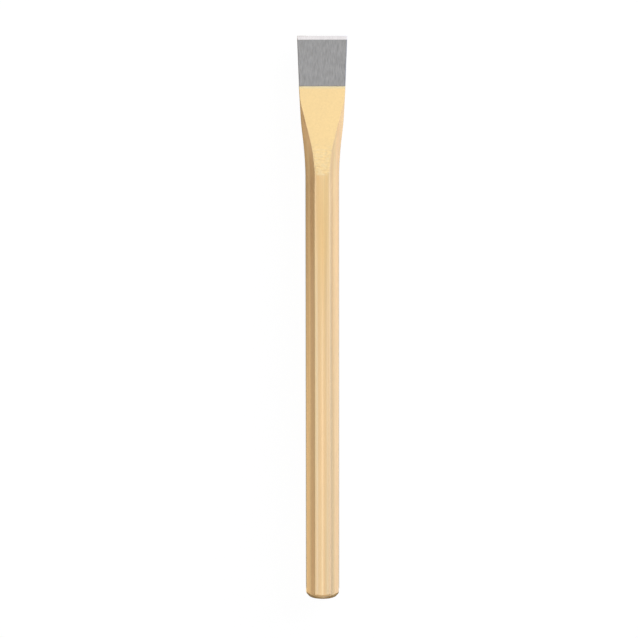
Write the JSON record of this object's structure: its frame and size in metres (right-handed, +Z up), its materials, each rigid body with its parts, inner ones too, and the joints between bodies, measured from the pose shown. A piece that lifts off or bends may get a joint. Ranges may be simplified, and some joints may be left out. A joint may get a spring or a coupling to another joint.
{
  "type": "flat cold chisel",
  "caption": "Flat cold chisel: octagonal steel bar forged to a flared wedge blade with a ground cutting edge and a domed striking end, lacquered gold up to its bare ground tip.",
  "frame": {"origin": "under the middle of the chisel, on the surface that it lies on", "axes": "+Y along the chisel to its cutting edge, X across the blade's width, +Z up, square to the flat it lies on"},
  "size_m": [0.026, 0.3, 0.0176],
  "materials": {
    "tool_steel": "ground along the blade, bright on the cutting bevel",
    "gold_lacquer": "satin metallic gold lacquer over forged steel"
  },
  "bodies": {
    "root": {"chisel_forging": "tool_steel", "lacquer_coat": "gold_lacquer"}
  },
  "joints": []
}
